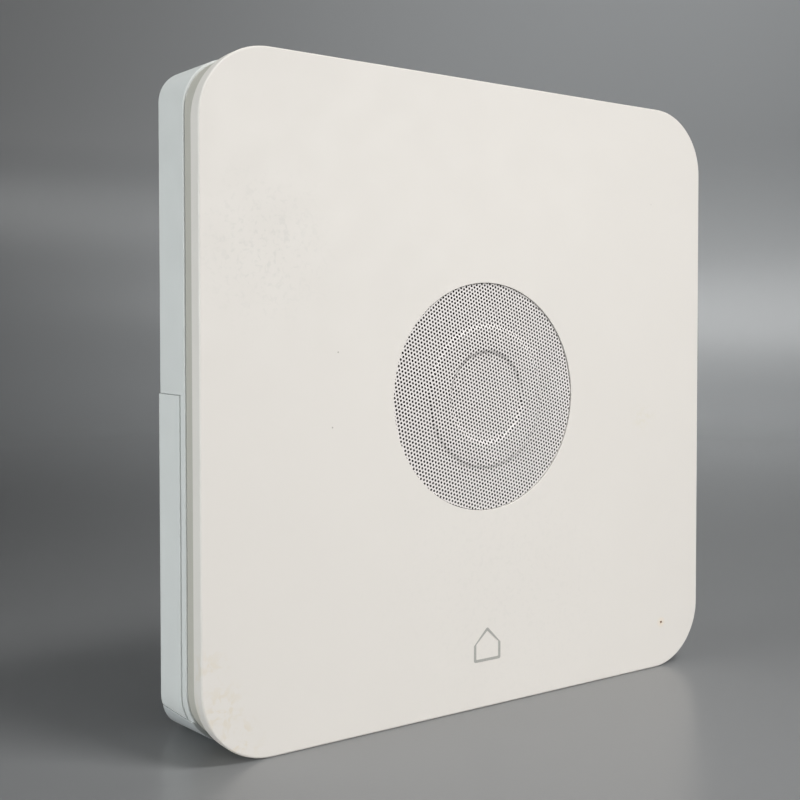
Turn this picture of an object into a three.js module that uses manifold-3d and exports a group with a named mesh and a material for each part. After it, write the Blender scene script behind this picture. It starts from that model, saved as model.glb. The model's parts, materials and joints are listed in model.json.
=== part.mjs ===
// Alarm base station: a flat square hub that stands on its lower edge, lies on its rear feet or
// hangs on two wall screws. Millimetres, +Z up, +X to the right, front face towards -Y, origin at
// the middle of the footprint. Every piece is drawn about the centre of the front face: x to the
// right, y as the depth behind the front face, z up from the centre.

import * as THREE from 'three';
import { mergeVertices } from 'three/addons/utils/BufferGeometryUtils.js';
import Module from 'manifold-3d';

const wasm = await Module();
wasm.setup();

// ---- Driving dimensions ----------------------------------------------------------------------

const SIZE = 169; // width and height of the front panel
const DEPTH = 36; // front face to the soles of the rear feet
const HALF = SIZE / 2;
const TOUCH = 0.05; // gap left between pieces that rest on each other
const SLIP = 0.3; // gap left around what comes off or moves

const INK = 0.05; // height of the printed mark on the front panel
const PANEL = { corner: 18.45, back: 4.4, skin: 2.2, rim: 6, edge: 0.4 };
const GRILLE = {
  radius: 30.7, depth: 0.35, sheet: 0.6, ledge: 28.6, inner: 12.25, outer: 19.1, slope: 0.75,
};
// The mid frame's neck: insets from the panel's edge at its sides and its two ends, then the lip
// inside the housing and the flange that carries it.
const NECK = {
  side: 3.9, end: 0.6, corner: 13.3, wall: 2.2, back: 16.05, lip: 3.95, lipBack: 18.6, flange: 5.2,
};
const WEB = { front: 6, back: 8 }; // cross wall of the mid frame
// The rear housing: insets from the panel's edge at its front. Towards the back its sides and ends
// come in by their drafts, and its corner radius drops by the taper.
const SHELL = {
  side: 3.45, end: 0.1, corner: 13.4, sideDraft: 1.45, endDraft: 0.5, taper: 5, fillet: 1.2,
  front: 16.1, back: 34.8, wall: 2,
};
const COVER = { proud: 0.35, wall: 2, seam: 0.15, front: 19.1, bottom: -78, top: 1.8 };
// The strip of the housing under the cover comes in further at its sides, with squarer corners.
const BASE = { sideDraft: 1.9, taper: 6.8 };
const SPEAKER = { opening: 24.5, flange: 30, screws: 28.1 };
const BOARD = { front: 10, back: 11.6 };
const BAY = { half: 40, wall: 2, front: 13.6, top: -52.5, bottom: -77.8, base: -81.4 };
const FEET = { x: 64, z: 62.5, radius: 6, sunk: 0.5 };
const KEYHOLE = { x: 52, z: 43.5, entry: 4.4, slot: 2.5, rise: 9 };
const BUTTONS = { z: 19.5, setup: -55, reset: -43, board: 24 };
const STATUS = { x: 68.4, z: -71 };
const SCREW = { boss: 3.6, pilot: 1.7, tube: 4.4, hole: 1.8, head: 3.4, seat: 25 }; // housing screws
const CABLE_EXITS = [[-22, -10], [12, 21]]; // network cable and power lead
const EXIT_FRONT = 18.6;
const MARK = { z: -67.25, half: 4.6, wall: 4.6, roof: 4.7, stroke: 0.75 };

const BEYOND = 40; // a depth behind the whole object, for cuts that run out of its back
const ROUND = 24; // sides of a large round piece
const SMALL = 10; // sides of a small round piece

// ---- Materials -------------------------------------------------------------------------------

function finish(color, roughness, metalness = 0) {
  return new THREE.MeshStandardMaterial({ color, roughness, metalness });
}

const frontWhite = finish(0xdedbd4, 0.6);
const rearWhite = finish(0xc9cdca, 0.55);
const neckGrey = finish(0xb4b4a8, 0.6);
const grilleWhite = finish(0xd6d3cd, 0.5, 0.1);
const inkGrey = finish(0xaaaaa6, 0.6);
const clearPlastic = finish(0xe6eef2, 0.15);
const greyRubber = finish(0x8f9290, 0.85);
const blackPlastic = finish(0x1c1d1f, 0.5);
const boardGreen = finish(0x1f5b3a, 0.45);
const brightSteel = finish(0xb9bcc0, 0.3, 1);
const darkFerrite = finish(0x35363a, 0.6, 0.2);
const blackPaper = finish(0x26272a, 0.9);
const copper = finish(0xb87333, 0.35, 1);
const batteryWrap = finish(0x2f6fb0, 0.35);
const blackFoam = finish(0x2a2a2c, 0.95);
const redLead = finish(0xa62b24, 0.6);
const labelPaper = finish(0xe9e9e6, 0.7);
const whiteNylon = finish(0xe4e0d4, 0.5);

// ---- Solids ----------------------------------------------------------------------------------

function solidOf(geometry) {
  const bare = geometry.clone();
  bare.deleteAttribute('normal');
  bare.deleteAttribute('uv');
  const merged = mergeVertices(bare, 1e-4);
  return new wasm.Manifold(new wasm.Mesh({
    numProp: 3,
    vertProperties: new Float32Array(merged.attributes.position.array),
    triVerts: new Uint32Array(merged.index.array),
  }));
}

function geometryOf(solid) {
  const mesh = solid.getMesh();
  const geometry = new THREE.BufferGeometry();
  geometry.setAttribute('position', new THREE.BufferAttribute(mesh.vertProperties, 3));
  geometry.setIndex(new THREE.BufferAttribute(mesh.triVerts, 1));
  geometry.computeVertexNormals();
  return geometry;
}

function join(first, ...others) {
  return others.reduce((whole, other) => whole.add(other), first);
}

function cut(first, ...others) {
  return others.reduce((whole, other) => whole.subtract(other), first);
}

// A flat outline, drawn in x and z, extruded from one depth to another.
function slab(shape, front, back, curveSegments = 4) {
  const options = { depth: back - front, bevelEnabled: false, curveSegments };
  return solidOf(new THREE.ExtrudeGeometry(shape, options).rotateX(Math.PI / 2).translate(0, back, 0));
}

function block(x, y, z) {
  const geometry = new THREE.BoxGeometry(x[1] - x[0], y[1] - y[0], z[1] - z[0]);
  return solidOf(geometry.translate((x[0] + x[1]) / 2, (y[0] + y[1]) / 2, (z[0] + z[1]) / 2));
}

// A round bar along the depth.
function rod(radius, front, back, x = 0, z = 0, sides = SMALL) {
  const geometry = new THREE.CylinderGeometry(radius, radius, back - front, sides);
  return solidOf(geometry.translate(x, (front + back) / 2, z));
}

// A round piece about the depth axis, from a closed profile of [radius, depth] points.
function turned(profile, sides = ROUND) {
  const points = profile.map(([radius, depth]) => new THREE.Vector2(radius, depth));
  const onAxis = profile[0][0] === 0;
  if (!onAxis) points.push(points[0].clone());
  return solidOf(new THREE.LatheGeometry(points, sides));
}

function ring(inner, outer, front, back, sides = ROUND) {
  return turned([[inner, front], [outer, front], [outer, back], [inner, back]], sides);
}

// A plate with round corners, set in from the panel's edge at its sides and at its two ends.
function roundedPlate(side, end, corner) {
  const x = HALF - side - corner;
  const z = HALF - end - corner;
  const shape = new THREE.Shape();
  shape.absarc(x, z, corner, 0, Math.PI / 2);
  shape.absarc(-x, z, corner, Math.PI / 2, Math.PI);
  shape.absarc(-x, -z, corner, Math.PI, 1.5 * Math.PI);
  shape.absarc(x, -z, corner, 1.5 * Math.PI, 2 * Math.PI);
  shape.closePath();
  return shape;
}

// A skin through shapes with matching points, each given with its depth, and capped at both ends.
function loft(sections, curveSegments = 3) {
  const outlines = sections.map(([shape]) => shape.getPoints(curveSegments).slice(0, -1));
  const count = outlines[0].length;
  const positions = outlines.flatMap((outline, k) => outline.flatMap(({ x, y }) => [x, sections[k][1], y]));
  const indices = [];
  for (let k = 0; k + 1 < sections.length; k += 1) {
    for (let i = 0; i < count; i += 1) {
      const here = k * count + i;
      const next = k * count + ((i + 1) % count);
      indices.push(here, here + count, next + count, here, next + count, next);
    }
  }
  const last = (sections.length - 1) * count;
  for (let i = 1; i + 1 < count; i += 1) {
    indices.push(0, i, i + 1, last, last + i + 1, last + i);
  }
  const geometry = new THREE.BufferGeometry();
  geometry.setAttribute('position', new THREE.Float32BufferAttribute(positions, 3));
  geometry.setIndex(indices);
  return solidOf(geometry);
}

// A flexible lead along a smooth route of [x, depth, z] points.
function lead(points, radius, steps) {
  const route = new THREE.CatmullRomCurve3(points.map((point) => new THREE.Vector3(...point)));
  const section = new THREE.Shape().absarc(0, 0, radius, 0, 2 * Math.PI);
  return solidOf(new THREE.ExtrudeGeometry(section, { steps, extrudePath: route, curveSegments: 4 }));
}

// A screw driven from behind: a round head with a crossed recess, its underside at depth 0.
function screw(headRadius, headHeight, shankRadius, length) {
  const turnedBody = turned([
    [0, -length], [shankRadius, -length], [shankRadius, 0], [headRadius, 0],
    [headRadius, headHeight], [0, headHeight],
  ], 8);
  const reach = headRadius * 0.5;
  const width = headRadius * 0.13;
  const floor = headHeight * 0.45;
  return cut(
    turnedBody,
    block([-reach, reach], [floor, headHeight + 1], [-width, width]),
    block([-width, width], [floor, headHeight + 1], [-reach, reach]),
  );
}

// ---- Assembly --------------------------------------------------------------------------------

const hub = new THREE.Group();
const aboutFrontFace = new THREE.Group();
aboutFrontFace.position.set(0, -DEPTH / 2, HALF);
hub.add(aboutFrontFace);

function place(name, solid, material, x = 0, depth = 0, z = 0) {
  const mesh = new THREE.Mesh(geometryOf(solid), material);
  mesh.name = name;
  mesh.position.set(x, depth, z);
  aboutFrontFace.add(mesh);
}

const sides = [['left', -1], ['right', 1]];
const corners = [
  ['upper_left', -1, 1], ['upper_right', 1, 1], ['lower_left', -1, -1], ['lower_right', 1, -1],
];

// ---- Front -----------------------------------------------------------------------------------

function frontPanel() {
  const { corner, back, skin, rim, edge } = PANEL;
  const shape = roundedPlate(edge, edge, corner - edge);
  const geometry = new THREE.ExtrudeGeometry(shape, {
    depth: back - INK, bevelThickness: edge, bevelSize: edge, bevelSegments: 2, curveSegments: 5,
  });
  geometry.rotateX(Math.PI / 2).translate(0, back + edge, 0);
  const reach = HALF + 1;
  const plate = solidOf(geometry).intersect(block([-reach, reach], [INK, back], [-reach, reach]));
  return cut(
    plate,
    slab(roundedPlate(rim, rim, corner - rim), skin, back + 1, 3),
    rod(GRILLE.radius + 0.25, -1, 1, 0, 0, 64),
    rod(GRILLE.ledge, 0.5, skin + 1, 0, 0, 48),
    rod(0.4, -1, skin + 1, STATUS.x, STATUS.z, 8),
  );
}

function grille() {
  const { radius, depth, sheet, inner, outer, slope } = GRILLE;
  const front = [
    [0, depth], [inner - slope, depth], [inner + slope, INK], [outer - slope, INK],
    [outer + slope, depth], [radius, depth],
  ];
  const behind = front.map(([r, y]) => [r, y + sheet]).reverse();
  return turned([...front, ...behind], 48);
}

function housePictogram() {
  const { half, wall, roof, stroke } = MARK;
  const outline = (inset, apex) => [
    [-half + inset, -wall + inset], [half - inset, -wall + inset], [half - inset, inset * 0.35],
    [0, apex], [-half + inset, inset * 0.35],
  ].map(([x, z]) => new THREE.Vector2(x, z));
  const shape = new THREE.Shape(outline(0, roof));
  shape.holes.push(new THREE.Path(outline(stroke, roof - stroke * 1.4).reverse()));
  return slab(shape, 0, INK - 0.01);
}

place('front_panel', frontPanel(), frontWhite);
place('speaker_grille', grille(), grilleWhite);
place('printed_mark', housePictogram(), inkGrey, 0, 0, MARK.z);

const dustMeshFront = GRILLE.depth + GRILLE.sheet + TOUCH;
place('dust_mesh', rod(GRILLE.ledge - SLIP, 0, 0.2, 0, 0, ROUND), blackFoam, 0, dustMeshFront);

// ---- Light ring and status light ---------------------------------------------------------------

const LIGHT = { inner: 12.6, outer: 18.8, guideFront: 1.4, guideBack: 4.2, boardFront: 4.9 };

function lightRingBoard() {
  const board = ring(11.7, 19.4, 0, 1);
  const count = 8;
  const lamps = Array.from({ length: count }, (unused, index) => {
    const turn = (index / count) * 2 * Math.PI;
    const x = 15.7 * Math.cos(turn);
    const z = 15.7 * Math.sin(turn);
    return block([x - 1, x + 1], [-0.6, 0.2], [z - 1, z + 1]);
  });
  return join(board, ...lamps);
}

const guide = ring(LIGHT.inner, LIGHT.outer, 0, LIGHT.guideBack - LIGHT.guideFront);
place('light_guide_ring', guide, clearPlastic, 0, LIGHT.guideFront);
place('light_ring_board', lightRingBoard(), boardGreen, 0, LIGHT.boardFront);

const pipe = turned([[0, 0], [0.25, 0], [0.25, 2], [1.5, 2], [1.5, 8.6], [0, 8.6]], SMALL);
place('status_light_pipe', pipe, clearPlastic, STATUS.x, 0.4, STATUS.z);

// ---- Mid frame -------------------------------------------------------------------------------

const BOARD_POSTS = [[-50, -70.5], [50, -70.5], [-50, -16.5], [50, -16.5]];
const BOSS_BACK = 20;
const BRACKET = { x: 41, z: 52 };

function midFrame() {
  const { side, end, corner, wall, lip, flange, back, lipBack } = NECK;
  const outline = (setIn) => roundedPlate(side + setIn, end + setIn, corner - setIn);
  const body = cut(
    join(slab(outline(0), PANEL.back + TOUCH, back, 3), slab(outline(lip), back - 1, lipBack, 3)),
    slab(outline(wall), 0, WEB.front, 3),
    slab(outline(wall), WEB.back, back - 2, 3),
    slab(outline(flange), WEB.back, 20, 3),
    rod(SPEAKER.opening, 0, 20, 0, 0, ROUND),
  );
  const ribs = [0, 1, 2].map((index) => {
    const rib = new THREE.BoxGeometry(6.5, WEB.back - WEB.front, 4).translate(22.25, 7, 0);
    return solidOf(rib.rotateY(Math.PI / 2 + (index * 2 * Math.PI) / 3));
  });
  const bosses = corners.map(([, x, z]) => {
    return rod(SCREW.boss, WEB.back - 1, BOSS_BACK, x * FEET.x, z * FEET.z);
  });
  const posts = BOARD_POSTS.map(([x, z]) => rod(3, WEB.back - 1, BOARD.front - TOUCH, x, z));
  const stakes = [-1, 1].map((side) => rod(1.5, WEB.back - 1, 10.4, side * BRACKET.x, BRACKET.z, 8));
  const whole = join(
    body, ring(11.5, 19.8, WEB.front, WEB.back), ...ribs, ...bosses, ...posts, ...stakes,
  );
  return cut(
    whole,
    ...speakerScrewPlaces().map(([x, z]) => rod(1.2, WEB.front + 0.5, 12, x, z, 6)),
    ...corners.map(([, x, z]) => rod(SCREW.pilot, 13, BOSS_BACK + 1, x * FEET.x, z * FEET.z, 8)),
    ...BOARD_POSTS.map(([x, z]) => rod(1.4, 7, 11, x, z, 6)),
    rod(1.9, 5, 12, STATUS.x, STATUS.z, 8),
    block([-BAY.half - BAY.wall - 1, BAY.half + BAY.wall + 1], [11.9, lipBack + 1], [BAY.base - 0.4, -75]),
  );
}

function speakerScrewPlaces() {
  return [0, 1, 2, 3].map((index) => {
    const turn = Math.PI / 4 + (index * Math.PI) / 2;
    return [SPEAKER.screws * Math.cos(turn), SPEAKER.screws * Math.sin(turn)];
  });
}

place('mid_frame', midFrame(), neckGrey);

// ---- Rear housing ----------------------------------------------------------------------------

// A block set in from the housing's own surface by a distance, on its sides, corners and back.
function shellBlock(setIn, front, { taper, sideDraft } = SHELL) {
  const back = SHELL.back - setIn;
  const fillet = Math.max(SHELL.fillet - setIn, 0.3);
  const section = (depth, inward) => {
    const share = (depth - SHELL.front) / (SHELL.back - SHELL.front);
    const inset = setIn + inward;
    const side = SHELL.side + sideDraft * share + inset;
    const end = SHELL.end + SHELL.endDraft * share + inset;
    return [roundedPlate(side, end, SHELL.corner - taper * share - inset), depth];
  };
  const steps = 4;
  const rounding = Array.from({ length: steps + 1 }, (unused, k) => {
    const turn = ((k / steps) * Math.PI) / 2;
    return section(back - fillet * (1 - Math.sin(turn)), fillet * (1 - Math.cos(turn)));
  });
  return loft([section(front, 0), ...rounding]);
}

const COVER_INNER = COVER.wall - COVER.proud; // set-in of the cover's inner face
const COVER_SEAT = COVER_INNER + SLIP; // set-in of the housing under the cover
const LOW_CAVITY = COVER_SEAT + SHELL.wall;
const SQUARE = { sideDraft: SHELL.sideDraft, taper: 0 }; // the same corner radius all the way back
const LATCHES = [-50, 50];
const LATCH_Z = -4.5;

const WIDE = [-100, 100];

function keyholeCut(x) {
  const { z, entry, slot, rise } = KEYHOLE;
  const shape = new THREE.Shape();
  const bite = Math.asin(slot / entry);
  shape.absarc(x, z, entry, Math.PI / 2 + bite, 2.5 * Math.PI - bite);
  shape.absarc(x, z + rise, slot, 0, Math.PI);
  shape.closePath();
  return join(
    slab(shape, 32, SHELL.back + 1, 3),
    block([x - 5.7, x + 5.7], [29.3, SHELL.back - SHELL.wall], [z - 4.9, z + rise + 3.4]),
  );
}

function keyholeBox(x) {
  return block([x - 7.2, x + 7.2], [27.8, 33.5], [KEYHOLE.z - 6.4, KEYHOLE.z + KEYHOLE.rise + 4.9]);
}

function rearHousing() {
  const { back, wall } = SHELL;
  const { seam, front, bottom, top } = COVER;
  const coverSpace = block(WIDE, [front - seam, BEYOND], [bottom - seam, top + seam]);
  const recess = cut(coverSpace, shellBlock(COVER_SEAT, 10, SQUARE));
  const underCover = block(WIDE, [10, BEYOND], [-100, bottom - seam]);
  const base = shellBlock(0, SHELL.front, BASE).intersect(underCover);
  const highSpace = block(WIDE, [SHELL.front + wall, BEYOND], [top + seam + wall, 100]);
  const shell = cut(
    join(cut(shellBlock(0, SHELL.front), underCover), base), recess, shellBlock(LOW_CAVITY, 12, SQUARE),
    shellBlock(wall, SHELL.front + wall).intersect(highSpace),
  );
  const bayWalls = block(
    [-BAY.half - BAY.wall, BAY.half + BAY.wall], [12, 31.5], [BAY.base, BAY.top + BAY.wall],
  );
  const tubes = corners.map(([, x, z]) => {
    const end = back - wall / 2 - (z < 0 ? COVER_SEAT : 0);
    return rod(SCREW.tube, BOSS_BACK + 0.2, end, x * FEET.x, z * FEET.z);
  });
  const stakes = [-64, -36].map((x) => rod(2, BUTTONS.board + 1.25, 33.5, x, BUTTONS.z, 10));
  const walls = join(
    shell, bayWalls, ...tubes, ...stakes, keyholeBox(-KEYHOLE.x), keyholeBox(KEYHOLE.x),
  );
  return cut(
    walls,
    block([-BAY.half, BAY.half], [BAY.front, BEYOND], [BAY.bottom, BAY.top]),
    keyholeCut(-KEYHOLE.x),
    keyholeCut(KEYHOLE.x),
    ...corners.map(([, x, z]) => rod(SCREW.hole, 15, BEYOND, x * FEET.x, z * FEET.z, 10)),
    ...corners.map(([, x, z]) => rod(SCREW.head, SCREW.seat, BEYOND, x * FEET.x, z * FEET.z)),
    ...[-1, 1].map((x) => rod(FEET.radius + 0.2, back - FEET.sunk, BEYOND, x * FEET.x, FEET.z, 20)),
    ...LATCHES.map((x) => block([x - 4.5, x + 4.5], [28, BEYOND], [LATCH_Z - 1.4, LATCH_Z + 1.4])),
    rod(4.8, 28, BEYOND, BUTTONS.setup, BUTTONS.z, 24),
    rod(1.3, 28, BEYOND, BUTTONS.reset, BUTTONS.z, 10),
    block([-24.4, -7.6], [11.2, 25.55], [BAY.top - 1, BAY.top + BAY.wall + 1]),
    block([11.6, 21.4], [11.2, 23.05], [BAY.top - 1, BAY.top + BAY.wall + 1]),
    ...CABLE_EXITS.map((x) => block(x, [EXIT_FRONT, 29.5], [-HALF, BAY.bottom + 1])),
  );
}

function rearCover() {
  const span = block(WIDE, [COVER.front, BEYOND], [COVER.bottom, COVER.top]);
  const shell = cut(shellBlock(-COVER.proud, COVER.front), shellBlock(COVER_INNER, 10)).intersect(span);
  const tongues = LATCHES.map((x) => block([x - 4.1, x + 4.1], [29, 33.6], [LATCH_Z - 1, LATCH_Z + 1]));
  const footSeats = [-1, 1].map((x) => {
    return rod(FEET.radius + 0.2, SHELL.back + COVER.proud - FEET.sunk, BEYOND, x * FEET.x, -FEET.z, 20);
  });
  return cut(join(shell, ...tongues), ...footSeats);
}

function foot(height) {
  const { radius } = FEET;
  return turned([[0, 0], [radius, 0], [radius, height - 0.4], [radius - 0.4, height], [0, height]], 20);
}

place('rear_housing', rearHousing(), rearWhite);
place('rear_cover', rearCover(), rearWhite);

for (const [name, x, z] of corners) {
  const seat = SHELL.back + (z < 0 ? COVER.proud : 0) - FEET.sunk + TOUCH;
  const [across, up] = [x * FEET.x, z * FEET.z];
  place(`foot_${name}`, foot(DEPTH - seat), greyRubber, across, seat, up);
  place(`housing_screw_${name}`, screw(3, 2, 1.5, 11), brightSteel, across, SCREW.seat + TOUCH, up);
}

const label = block([-30, 30], [0, 0.1], [-10, 10]);
place('blank_label', label, labelPaper, 22, SHELL.back + 0.02, BUTTONS.z);

// ---- Speaker, which is the siren too -----------------------------------------------------------

function speakerBasket() {
  const bowl = turned([
    [SPEAKER.flange, 9.2], [SPEAKER.flange, 10.4], [26.4, 10.4], [18, 18.6], [18, 20], [14.4, 20],
    [14.4, 18.9], [16.8, 18.2], [24.9, 10.3], [24.9, 9.2],
  ]);
  const windows = [0, 1, 2, 3].map((index) => {
    const window = new THREE.BoxGeometry(10, 4.4, 16).translate(22, 14.4, 0);
    return solidOf(window.rotateY((index * Math.PI) / 2));
  });
  const holes = speakerScrewPlaces().map(([x, z]) => rod(1.2, 8, 12, x, z, 6));
  return cut(bowl, ...windows, ...holes);
}

const surround = turned([
  [20.95, 10.1], [21.7, 8.7], [23.8, 8.7], [24.6, 10.1], [24.2, 10.4], [23.4, 9.2], [22.1, 9.2],
  [21.4, 10.4],
]);
const cone = turned([[20.6, 10.6], [20.6, 11.2], [8.4, 17], [7.9, 16.6]]);
const dustCap = turned([[0, 13.8], [4.5, 14.4], [8.2, 16], [8.2, 16.35], [4.5, 14.9], [0, 14.3]], 24);

place('speaker_gasket', ring(24.9, 26.8, 0, 1), blackFoam, 0, WEB.back + TOUCH);
place('speaker_basket', speakerBasket(), blackPlastic);
place('speaker_surround', surround, blackFoam);
place('speaker_cone', cone, blackPaper);
place('speaker_dust_cap', dustCap, blackPaper);
place('speaker_voice_coil', ring(7.5, 8.1, 0, 5.2, 24), copper, 0, 17.05);
place('speaker_spider', ring(8.6, 16.3, 0, 0.4, 24), blackPaper, 0, 17.9);
place('speaker_top_plate', ring(8.7, 16, 0, 1.5), brightSteel, 0, 20 + TOUCH);
place('speaker_magnet', ring(8.9, 16, 0, 4.3), darkFerrite, 0, 21.6);
const yoke = turned([[0, -6], [7, -6], [7, 0], [16, 0], [16, 1.5], [0, 1.5]]);
place('speaker_yoke', yoke, brightSteel, 0, 25.95);
speakerScrewPlaces().forEach(([x, z], index) => {
  place(`speaker_screw_${index + 1}`, screw(1.6, 1.2, 0.9, 3.4), brightSteel, x, 10.4 + TOUCH, z);
});

// ---- Main board ------------------------------------------------------------------------------

function mainBoard() {
  const shape = new THREE.Shape([
    [-56, -75], [74, -75], [74, -67.2], [56, -67.2], [56, -10.5], [-56, -10.5],
  ].map(([x, z]) => new THREE.Vector2(x, z)));
  const statusLamp = block(
    [STATUS.x - 1.5, STATUS.x + 1.5], [BOARD.front - 0.8, BOARD.front + 0.1], [STATUS.z - 1, STATUS.z + 1],
  );
  return cut(
    join(slab(shape, BOARD.front, BOARD.back), statusLamp),
    rod(33, 5, 20, 0, 0, ROUND),
    ...BOARD_POSTS.map(([x, z]) => rod(1.6, 5, 20, x, z, 6)),
  );
}

const onBoard = BOARD.back + TOUCH;
const MOUTH = -51.5; // lower end of both sockets

function ethernetJack() {
  return cut(
    block([-8, 8], [0, 13.5], [0, 21]),
    block([-5.95, 5.95], [2.85, 11], [-1, 14]),
    block([-3.2, 3.2], [10, 12.6], [-1, 9]),
  );
}

function powerJack() {
  const bore = (radius, bottom, top) => {
    const turnedUp = new THREE.CylinderGeometry(radius, radius, top - bottom, SMALL);
    return solidOf(turnedUp.rotateX(Math.PI / 2).translate(0, 5.85, (bottom + top) / 2));
  };
  const body = block([-4.5, 4.5], [0, 11], [0, 14]);
  return join(cut(body, bore(3.2, -1, 10)), bore(0.95, 1, 10.5));
}

function cellularModule() {
  return join(block([-13, 13], [0, 1], [0, 26]), block([-10, 10], [0.9, 3.2], [3, 20]));
}

function moduleSocket() {
  return cut(block([-14, 14], [0, 4.4], [0, 4.5]), block([-13.3, 13.3], [2, 3.6], [-1, 2.6]));
}

function simHolder() {
  return cut(block([-7.5, 7.5], [0, 1.45], [0, 13]), block([-6.5, 6.5], [0.35, 1.15], [-1, 11.5]));
}

place('main_board', mainBoard(), boardGreen);
place('ethernet_jack', ethernetJack(), brightSteel, -16, onBoard, MOUTH);
place('power_jack', powerJack(), blackPlastic, 16.5, onBoard, MOUTH);
place('processor_shield', block([-12, 12], [0, 2.4], [-8.25, 8.25]), brightSteel, 38, onBoard, -39.25);
place('module_socket', moduleSocket(), blackPlastic, -40, onBoard, -25);
place('cellular_module', cellularModule(), boardGreen, -40, onBoard + 2.3, -48.8);
place('sim_holder', simHolder(), brightSteel, 2, onBoard, -48.5);
place('sim_card', block([-6.15, 6.15], [0, 0.67], [-4.4, 4.4]), labelPaper, 2, onBoard + 0.42, -42.6);
place('battery_connector', block([-4, 4], [0, 4.4], [-2.5, 2.5]), whiteNylon, 38, onBoard, -17.5);
BOARD_POSTS.forEach(([x, z], index) => {
  place(`board_screw_${index + 1}`, screw(2.5, 1.6, 1.2, 4.2), brightSteel, x, BOARD.back + TOUCH, z);
});

// ---- Battery ---------------------------------------------------------------------------------

const PACK = { half: 35, low: 33, high: 71, front: WEB.back + SLIP, thick: 19.4 };

function batteryPack() {
  const { half, low, high, thick } = PACK;
  const radius = thick / 2;
  const shape = new THREE.Shape();
  shape.absarc(-low - radius, 0, radius, -Math.PI / 2, Math.PI / 2);
  shape.absarc(-high + radius, 0, radius, Math.PI / 2, 1.5 * Math.PI);
  shape.closePath();
  const options = { depth: 2 * half, bevelEnabled: false, curveSegments: 5 };
  const geometry = new THREE.ExtrudeGeometry(shape, options);
  return solidOf(geometry.translate(0, 0, -half).rotateY(Math.PI / 2));
}

function batteryBracket() {
  const back = PACK.front + PACK.thick + 1.35;
  const z = [BRACKET.z - 10, BRACKET.z + 10];
  const legs = [-1, 1].map((side) => {
    const leg = new THREE.BoxGeometry(1.2, back - WEB.back - TOUCH, 20);
    return solidOf(leg.translate(side * 35.9, (back + WEB.back + TOUCH) / 2, BRACKET.z));
  });
  const ears = [-1, 1].map((side) => {
    const ear = new THREE.BoxGeometry(10, 1.2, 20);
    ear.translate(side * 40.4, WEB.back + TOUCH + 0.6, BRACKET.z);
    return cut(solidOf(ear), rod(1.8, 5, 12, side * BRACKET.x, BRACKET.z, 10));
  });
  return join(block([-36.5, 36.5], [back - 1.2, back], z), ...legs, ...ears);
}

place('battery_pack', batteryPack(), batteryWrap, 0, PACK.front + PACK.thick / 2);
place('battery_bracket', batteryBracket(), brightSteel);

// ---- Leads and antennas ------------------------------------------------------------------------

const batteryLead = lead([
  [38, 14.2, -14.7], [38, 14.4, -10], [40, 15, 8], [35, 16.4, 22], [30.3, 17.5, 28], [30, 17.6, 32.6],
], 1.2, 20);
place('battery_lead', batteryLead, redLead);

const speakerLead = lead([[-20.6, 15, -13.5], [-27, 14.4, -17.5], [-33, 13.6, -18.5]], 0.9, 8);
place('speaker_lead', speakerLead, redLead);

const THIN = [-0.4, 0.4];
for (const [name, side] of sides) {
  place(`cellular_antenna_${name}`, block(THIN, [-6, 6], [-25, 25]), boardGreen, side * 77.2, 24.6, 34);
}
place('mesh_radio_antenna', block(THIN, [-5, 5], [-22, 22]), boardGreen, -75.4, 24, -31);
place('wifi_antenna', block([-25, 25], [-5, 5], THIN), boardGreen, 0, 24.6, 81.3);

// ---- Buttons on the back -----------------------------------------------------------------------

function switchCase(holeRadius) {
  return cut(block([-3, 3], [0, 3.4], [-3, 3]), rod(holeRadius, 1.6, 5, 0, 0, 12));
}

const caseFront = BUTTONS.board + 1.2 + TOUCH;
const buttonBoard = block([-16, 16], [0, 1.2], [-7, 7]);
place('button_board', buttonBoard, boardGreen, -50, BUTTONS.board, BUTTONS.z);
place('setup_switch', switchCase(2.1), blackPlastic, BUTTONS.setup, caseFront, BUTTONS.z);
place('reset_switch', switchCase(1.5), blackPlastic, BUTTONS.reset, caseFront, BUTTONS.z);
place('setup_switch_plunger', rod(1.7, 0, 1.5), blackPlastic, BUTTONS.setup, 27.8, BUTTONS.z);
const setupButton = turned([
  [0, 0], [1.5, 0], [1.5, 1.9], [6, 1.9], [6, 3.1], [4.5, 3.1], [4.5, 4.8], [4.1, 5.05], [0, 5.05],
], 24);
place('setup_button', setupButton, rearWhite, BUTTONS.setup, 29.35, BUTTONS.z);
place('reset_button', rod(1.1, 0, 3.8, 0, 0, 12), blackPlastic, BUTTONS.reset, 27.6, BUTTONS.z);

export default hub;
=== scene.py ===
"""Looks of the alarm base station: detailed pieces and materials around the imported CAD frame.

Solids are drawn in millimetres about the centre of the front face: x to the right, depth behind
the front face, z up. place() turns them into metres in the frame's own axes.
"""

import json
import math

import bmesh
import bpy
from mathutils import Matrix, Vector

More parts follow.
